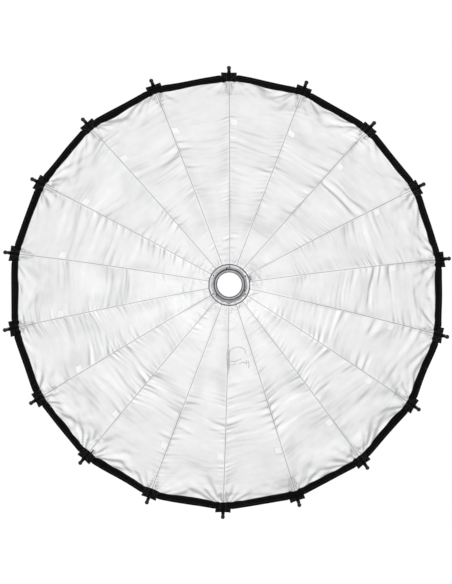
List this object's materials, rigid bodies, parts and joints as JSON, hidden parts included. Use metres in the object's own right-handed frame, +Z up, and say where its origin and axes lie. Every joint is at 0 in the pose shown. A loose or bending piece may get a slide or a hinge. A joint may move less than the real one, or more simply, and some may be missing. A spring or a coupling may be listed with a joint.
{
  "type": "umbrella reflector",
  "caption": "Folding parabolic umbrella reflector dish: silver-lined cloth gores on curved ribs hinged round a bayonet speed ring that turns, with a sliding fold collar.",
  "frame": {"origin": "centre of the bayonet's seat, on the dish's axis", "axes": "+Y along the dish's axis out of the back, towards the lamp; the mouth faces -Y; +Z up, through the first rib"},
  "size_m": [1.5308, 0.7524, 1.5542],
  "materials": {
    "cast_aluminium": "satin",
    "satin_aluminium": "satin",
    "steel": "satin",
    "black_steel": "satin",
    "black_nylon": "matte",
    "rib_black": "satin",
    "rubber": "matte",
    "black_webbing": "matte",
    "silver_cloth": "satin"
  },
  "bodies": {
    "bayonet": {"bayonet_insert": "cast_aluminium", "bayonet_claws": "steel", "claw_screws": "black_steel"},
    "ring": {"ring_body": "cast_aluminium", "front_flange": "satin_aluminium", "flange_screws": "black_steel", "retaining_ring": "satin_aluminium", "retaining_screws": "black_steel", "throat_hem": "black_webbing", "hinge_pins": "steel"},
    "collar": {"fold_collar": "black_nylon", "collar_drag_ring": "rubber"},
    "lock": {"lock_screw": "steel", "lock_knob": "black_nylon"},
    "rib_01": {"rib_01": "rib_black"},
    "rib_02": {"rib_02": "rib_black"},
    "rib_03": {"rib_03": "rib_black"},
    "rib_04": {"rib_04": "rib_black"},
    "rib_05": {"rib_05": "rib_black"},
    "rib_06": {"rib_06": "rib_black"},
    "rib_07": {"rib_07": "rib_black"},
    "rib_08": {"rib_08": "rib_black"},
    "rib_09": {"rib_09": "rib_black"},
    "rib_10": {"rib_10": "rib_black"},
    "rib_11": {"rib_11": "rib_black"},
    "rib_12": {"rib_12": "rib_black"},
    "rib_13": {"rib_13": "rib_black"},
    "rib_14": {"rib_14": "rib_black"},
    "rib_15": {"rib_15": "rib_black"},
    "rib_16": {"rib_16": "rib_black"},
    "rib_17": {"rib_17": "rib_black"},
    "rib_18": {"rib_18": "rib_black"},
    "gore_01": {"gore_01": "silver_cloth"},
    "gore_02": {"gore_02": "silver_cloth"},
    "gore_03": {"gore_03": "silver_cloth"},
    "gore_04": {"gore_04": "silver_cloth"},
    "gore_05": {"gore_05": "silver_cloth"},
    "gore_06": {"gore_06": "silver_cloth"},
    "gore_07": {"gore_07": "silver_cloth"},
    "gore_08": {"gore_08": "silver_cloth"},
    "gore_09": {"gore_09": "silver_cloth"},
    "gore_10": {"gore_10": "silver_cloth"},
    "gore_11": {"gore_11": "silver_cloth"},
    "gore_12": {"gore_12": "silver_cloth"},
    "gore_13": {"gore_13": "silver_cloth"},
    "gore_14": {"gore_14": "silver_cloth"},
    "gore_15": {"gore_15": "silver_cloth"},
    "gore_16": {"gore_16": "silver_cloth"},
    "gore_17": {"gore_17": "silver_cloth"},
    "gore_18": {"gore_18": "silver_cloth"}
  },
  "joints": [
    {"name": "ring_turn", "type": "hinge", "parent": "bayonet", "child": "ring", "pos_m": [0, 0, 0], "axis": [0, 1, 0], "continuous": true},
    {"name": "lock_knob_turn", "type": "hinge", "parent": "ring", "child": "lock", "pos_m": [0, -0.0059, 0], "axis": [0.9397, 0, 0.342], "range_deg": [0, 360]},
    {"name": "rib_fold_01", "type": "hinge", "parent": "ring", "child": "rib_01", "pos_m": [0, -0.0357, 0.095], "axis": [1, 0, 0], "range_deg": [0, 46.4], "deforming": ["throat_hem"]},
    {"name": "rib_fold_02", "type": "hinge", "parent": "ring", "child": "rib_02", "pos_m": [0.03249, -0.0357, 0.08927], "axis": [0.9397, 0, -0.342], "range_deg": [0, 46.4]},
    {"name": "rib_fold_03", "type": "hinge", "parent": "ring", "child": "rib_03", "pos_m": [0.06107, -0.0357, 0.07277], "axis": [0.766, 0, -0.6428], "range_deg": [0, 46.4]},
    {"name": "rib_fold_04", "type": "hinge", "parent": "ring", "child": "rib_04", "pos_m": [0.08227, -0.0357, 0.0475], "axis": [0.5, 0, -0.866], "range_deg": [0, 46.4]},
    {"name": "rib_fold_05", "type": "hinge", "parent": "ring", "child": "rib_05", "pos_m": [0.09356, -0.0357, 0.0165], "axis": [0.1736, 0, -0.9848], "range_deg": [0, 46.4]},
    {"name": "rib_fold_06", "type": "hinge", "parent": "ring", "child": "rib_06", "pos_m": [0.09356, -0.0357, -0.0165], "axis": [-0.1736, 0, -0.9848], "range_deg": [0, 46.4]},
    {"name": "rib_fold_07", "type": "hinge", "parent": "ring", "child": "rib_07", "pos_m": [0.08227, -0.0357, -0.0475], "axis": [-0.5, 0, -0.866], "range_deg": [0, 46.4]},
    {"name": "rib_fold_08", "type": "hinge", "parent": "ring", "child": "rib_08", "pos_m": [0.06107, -0.0357, -0.07277], "axis": [-0.766, 0, -0.6428], "range_deg": [0, 46.4]},
    {"name": "rib_fold_09", "type": "hinge", "parent": "ring", "child": "rib_09", "pos_m": [0.03249, -0.0357, -0.08927], "axis": [-0.9397, 0, -0.342], "range_deg": [0, 46.4]},
    {"name": "rib_fold_10", "type": "hinge", "parent": "ring", "child": "rib_10", "pos_m": [0, -0.0357, -0.095], "axis": [-1, 0, 0], "range_deg": [0, 46.4]},
    {"name": "rib_fold_11", "type": "hinge", "parent": "ring", "child": "rib_11", "pos_m": [-0.03249, -0.0357, -0.08927], "axis": [-0.9397, 0, 0.342], "range_deg": [0, 46.4]},
    {"name": "rib_fold_12", "type": "hinge", "parent": "ring", "child": "rib_12", "pos_m": [-0.06107, -0.0357, -0.07277], "axis": [-0.766, 0, 0.6428], "range_deg": [0, 46.4]},
    {"name": "rib_fold_13", "type": "hinge", "parent": "ring", "child": "rib_13", "pos_m": [-0.08227, -0.0357, -0.0475], "axis": [-0.5, 0, 0.866], "range_deg": [0, 46.4]},
    {"name": "rib_fold_14", "type": "hinge", "parent": "ring", "child": "rib_14", "pos_m": [-0.09356, -0.0357, -0.0165], "axis": [-0.1736, 0, 0.9848], "range_deg": [0, 46.4]},
    {"name": "rib_fold_15", "type": "hinge", "parent": "ring", "child": "rib_15", "pos_m": [-0.09356, -0.0357, 0.0165], "axis": [0.1736, 0, 0.9848], "range_deg": [0, 46.4]},
    {"name": "rib_fold_16", "type": "hinge", "parent": "ring", "child": "rib_16", "pos_m": [-0.08227, -0.0357, 0.0475], "axis": [0.5, 0, 0.866], "range_deg": [0, 46.4]},
    {"name": "rib_fold_17", "type": "hinge", "parent": "ring", "child": "rib_17", "pos_m": [-0.06107, -0.0357, 0.07277], "axis": [0.766, 0, 0.6428], "range_deg": [0, 46.4]},
    {"name": "rib_fold_18", "type": "hinge", "parent": "ring", "child": "rib_18", "pos_m": [-0.03249, -0.0357, 0.08927], "axis": [0.9397, 0, 0.342], "range_deg": [0, 46.4]},
    {"name": "gore_fold_01", "type": "hinge", "parent": "rib_01", "child": "gore_01", "pos_m": [0.01675, -0.0357, 0.095], "axis": [-0.16, -0.3889, -0.9073], "range_deg": [0, 15.69], "deforming": ["gore_01"]},
    {"name": "gore_fold_02", "type": "hinge", "parent": "rib_02", "child": "gore_02", "pos_m": [0.04823, -0.0357, 0.08354], "axis": [-0.4606, -0.3889, -0.7979], "range_deg": [0, 15.69], "deforming": ["gore_02"]},
    {"name": "gore_fold_03", "type": "hinge", "parent": "rib_03", "child": "gore_03", "pos_m": [0.0739, -0.0357, 0.06201], "axis": [-0.7058, -0.3889, -0.5922], "range_deg": [0, 15.69], "deforming": ["gore_03"]},
    {"name": "gore_fold_04", "type": "hinge", "parent": "rib_04", "child": "gore_04", "pos_m": [0.09065, -0.0357, 0.03299], "axis": [-0.8657, -0.3889, -0.3151], "range_deg": [0, 15.69], "deforming": ["gore_04"]},
    {"name": "gore_fold_05", "type": "hinge", "parent": "rib_05", "child": "gore_05", "pos_m": [0.09647, -0.0357, 0], "axis": [-0.9213, -0.3889, 0], "range_deg": [0, 15.69], "deforming": ["gore_05"]},
    {"name": "gore_fold_06", "type": "hinge", "parent": "rib_06", "child": "gore_06", "pos_m": [0.09065, -0.0357, -0.03299], "axis": [-0.8657, -0.3889, 0.3151], "range_deg": [0, 15.69], "deforming": ["gore_06"]},
    {"name": "gore_fold_07", "type": "hinge", "parent": "rib_07", "child": "gore_07", "pos_m": [0.0739, -0.0357, -0.06201], "axis": [-0.7058, -0.3889, 0.5922], "range_deg": [0, 15.69], "deforming": ["gore_07"]},
    {"name": "gore_fold_08", "type": "hinge", "parent": "rib_08", "child": "gore_08", "pos_m": [0.04823, -0.0357, -0.08354], "axis": [-0.4606, -0.3889, 0.7979], "range_deg": [0, 15.69], "deforming": ["gore_08"]},
    {"name": "gore_fold_09", "type": "hinge", "parent": "rib_09", "child": "gore_09", "pos_m": [0.01675, -0.0357, -0.095], "axis": [-0.16, -0.3889, 0.9073], "range_deg": [0, 15.69], "deforming": ["gore_09"]},
    {"name": "gore_fold_10", "type": "hinge", "parent": "rib_10", "child": "gore_10", "pos_m": [-0.01675, -0.0357, -0.095], "axis": [0.16, -0.3889, 0.9073], "range_deg": [0, 15.69], "deforming": ["gore_10"]},
    {"name": "gore_fold_11", "type": "hinge", "parent": "rib_11", "child": "gore_11", "pos_m": [-0.04823, -0.0357, -0.08354], "axis": [0.4606, -0.3889, 0.7979], "range_deg": [0, 15.69], "deforming": ["gore_11"]},
    {"name": "gore_fold_12", "type": "hinge", "parent": "rib_12", "child": "gore_12", "pos_m": [-0.0739, -0.0357, -0.06201], "axis": [0.7058, -0.3889, 0.5922], "range_deg": [0, 15.69], "deforming": ["gore_12"]},
    {"name": "gore_fold_13", "type": "hinge", "parent": "rib_13", "child": "gore_13", "pos_m": [-0.09065, -0.0357, -0.03299], "axis": [0.8657, -0.3889, 0.3151], "range_deg": [0, 15.69], "deforming": ["gore_13"]},
    {"name": "gore_fold_14", "type": "hinge", "parent": "rib_14", "child": "gore_14", "pos_m": [-0.09647, -0.0357, 0], "axis": [0.9213, -0.3889, 0], "range_deg": [0, 15.69], "deforming": ["gore_14"]},
    {"name": "gore_fold_15", "type": "hinge", "parent": "rib_15", "child": "gore_15", "pos_m": [-0.09065, -0.0357, 0.03299], "axis": [0.8657, -0.3889, -0.3151], "range_deg": [0, 15.69], "deforming": ["gore_15"]},
    {"name": "gore_fold_16", "type": "hinge", "parent": "rib_16", "child": "gore_16", "pos_m": [-0.0739, -0.0357, 0.06201], "axis": [0.7058, -0.3889, -0.5922], "range_deg": [0, 15.69], "deforming": ["gore_16"]},
    {"name": "gore_fold_17", "type": "hinge", "parent": "rib_17", "child": "gore_17", "pos_m": [-0.04823, -0.0357, 0.08354], "axis": [0.4606, -0.3889, -0.7979], "range_deg": [0, 15.69], "deforming": ["gore_17"]},
    {"name": "gore_fold_18", "type": "hinge", "parent": "rib_18", "child": "gore_18", "pos_m": [-0.01675, -0.0357, 0.095], "axis": [0.16, -0.3889, -0.9073], "range_deg": [0, 15.69], "deforming": ["gore_18"]},
    {"name": "collar_slide", "type": "slide", "parent": "ring", "child": "collar", "axis": [0, 1, 0], "range_m": [0, 0.01117]}
  ],
  "couplings": [
    {"joint": "rib_fold_02", "follows": "rib_fold_01", "ratio": 1},
    {"joint": "rib_fold_03", "follows": "rib_fold_01", "ratio": 1},
    {"joint": "rib_fold_04", "follows": "rib_fold_01", "ratio": 1},
    {"joint": "rib_fold_05", "follows": "rib_fold_01", "ratio": 1},
    {"joint": "rib_fold_06", "follows": "rib_fold_01", "ratio": 1},
    {"joint": "rib_fold_07", "follows": "rib_fold_01", "ratio": 1},
    {"joint": "rib_fold_08", "follows": "rib_fold_01", "ratio": 1},
    {"joint": "rib_fold_09", "follows": "rib_fold_01", "ratio": 1},
    {"joint": "rib_fold_10", "follows": "rib_fold_01", "ratio": 1},
    {"joint": "rib_fold_11", "follows": "rib_fold_01", "ratio": 1},
    {"joint": "rib_fold_12", "follows": "rib_fold_01", "ratio": 1},
    {"joint": "rib_fold_13", "follows": "rib_fold_01", "ratio": 1},
    {"joint": "rib_fold_14", "follows": "rib_fold_01", "ratio": 1},
    {"joint": "rib_fold_15", "follows": "rib_fold_01", "ratio": 1},
    {"joint": "rib_fold_16", "follows": "rib_fold_01", "ratio": 1},
    {"joint": "rib_fold_17", "follows": "rib_fold_01", "ratio": 1},
    {"joint": "rib_fold_18", "follows": "rib_fold_01", "ratio": 1},
    {"joint": "gore_fold_01", "follows": "rib_fold_01", "ratio": 0.33815},
    {"joint": "gore_fold_02", "follows": "rib_fold_01", "ratio": 0.33815},
    {"joint": "gore_fold_03", "follows": "rib_fold_01", "ratio": 0.33815},
    {"joint": "gore_fold_04", "follows": "rib_fold_01", "ratio": 0.33815},
    {"joint": "gore_fold_05", "follows": "rib_fold_01", "ratio": 0.33815},
    {"joint": "gore_fold_06", "follows": "rib_fold_01", "ratio": 0.33815},
    {"joint": "gore_fold_07", "follows": "rib_fold_01", "ratio": 0.33815},
    {"joint": "gore_fold_08", "follows": "rib_fold_01", "ratio": 0.33815},
    {"joint": "gore_fold_09", "follows": "rib_fold_01", "ratio": 0.33815},
    {"joint": "gore_fold_10", "follows": "rib_fold_01", "ratio": 0.33815},
    {"joint": "gore_fold_11", "follows": "rib_fold_01", "ratio": 0.33815},
    {"joint": "gore_fold_12", "follows": "rib_fold_01", "ratio": 0.33815},
    {"joint": "gore_fold_13", "follows": "rib_fold_01", "ratio": 0.33815},
    {"joint": "gore_fold_14", "follows": "rib_fold_01", "ratio": 0.33815},
    {"joint": "gore_fold_15", "follows": "rib_fold_01", "ratio": 0.33815},
    {"joint": "gore_fold_16", "follows": "rib_fold_01", "ratio": 0.33815},
    {"joint": "gore_fold_17", "follows": "rib_fold_01", "ratio": 0.33815},
    {"joint": "gore_fold_18", "follows": "rib_fold_01", "ratio": 0.33815},
    {"joint": "collar_slide", "follows": "rib_fold_01", "m_per_rad": 0.013787}
  ]
}
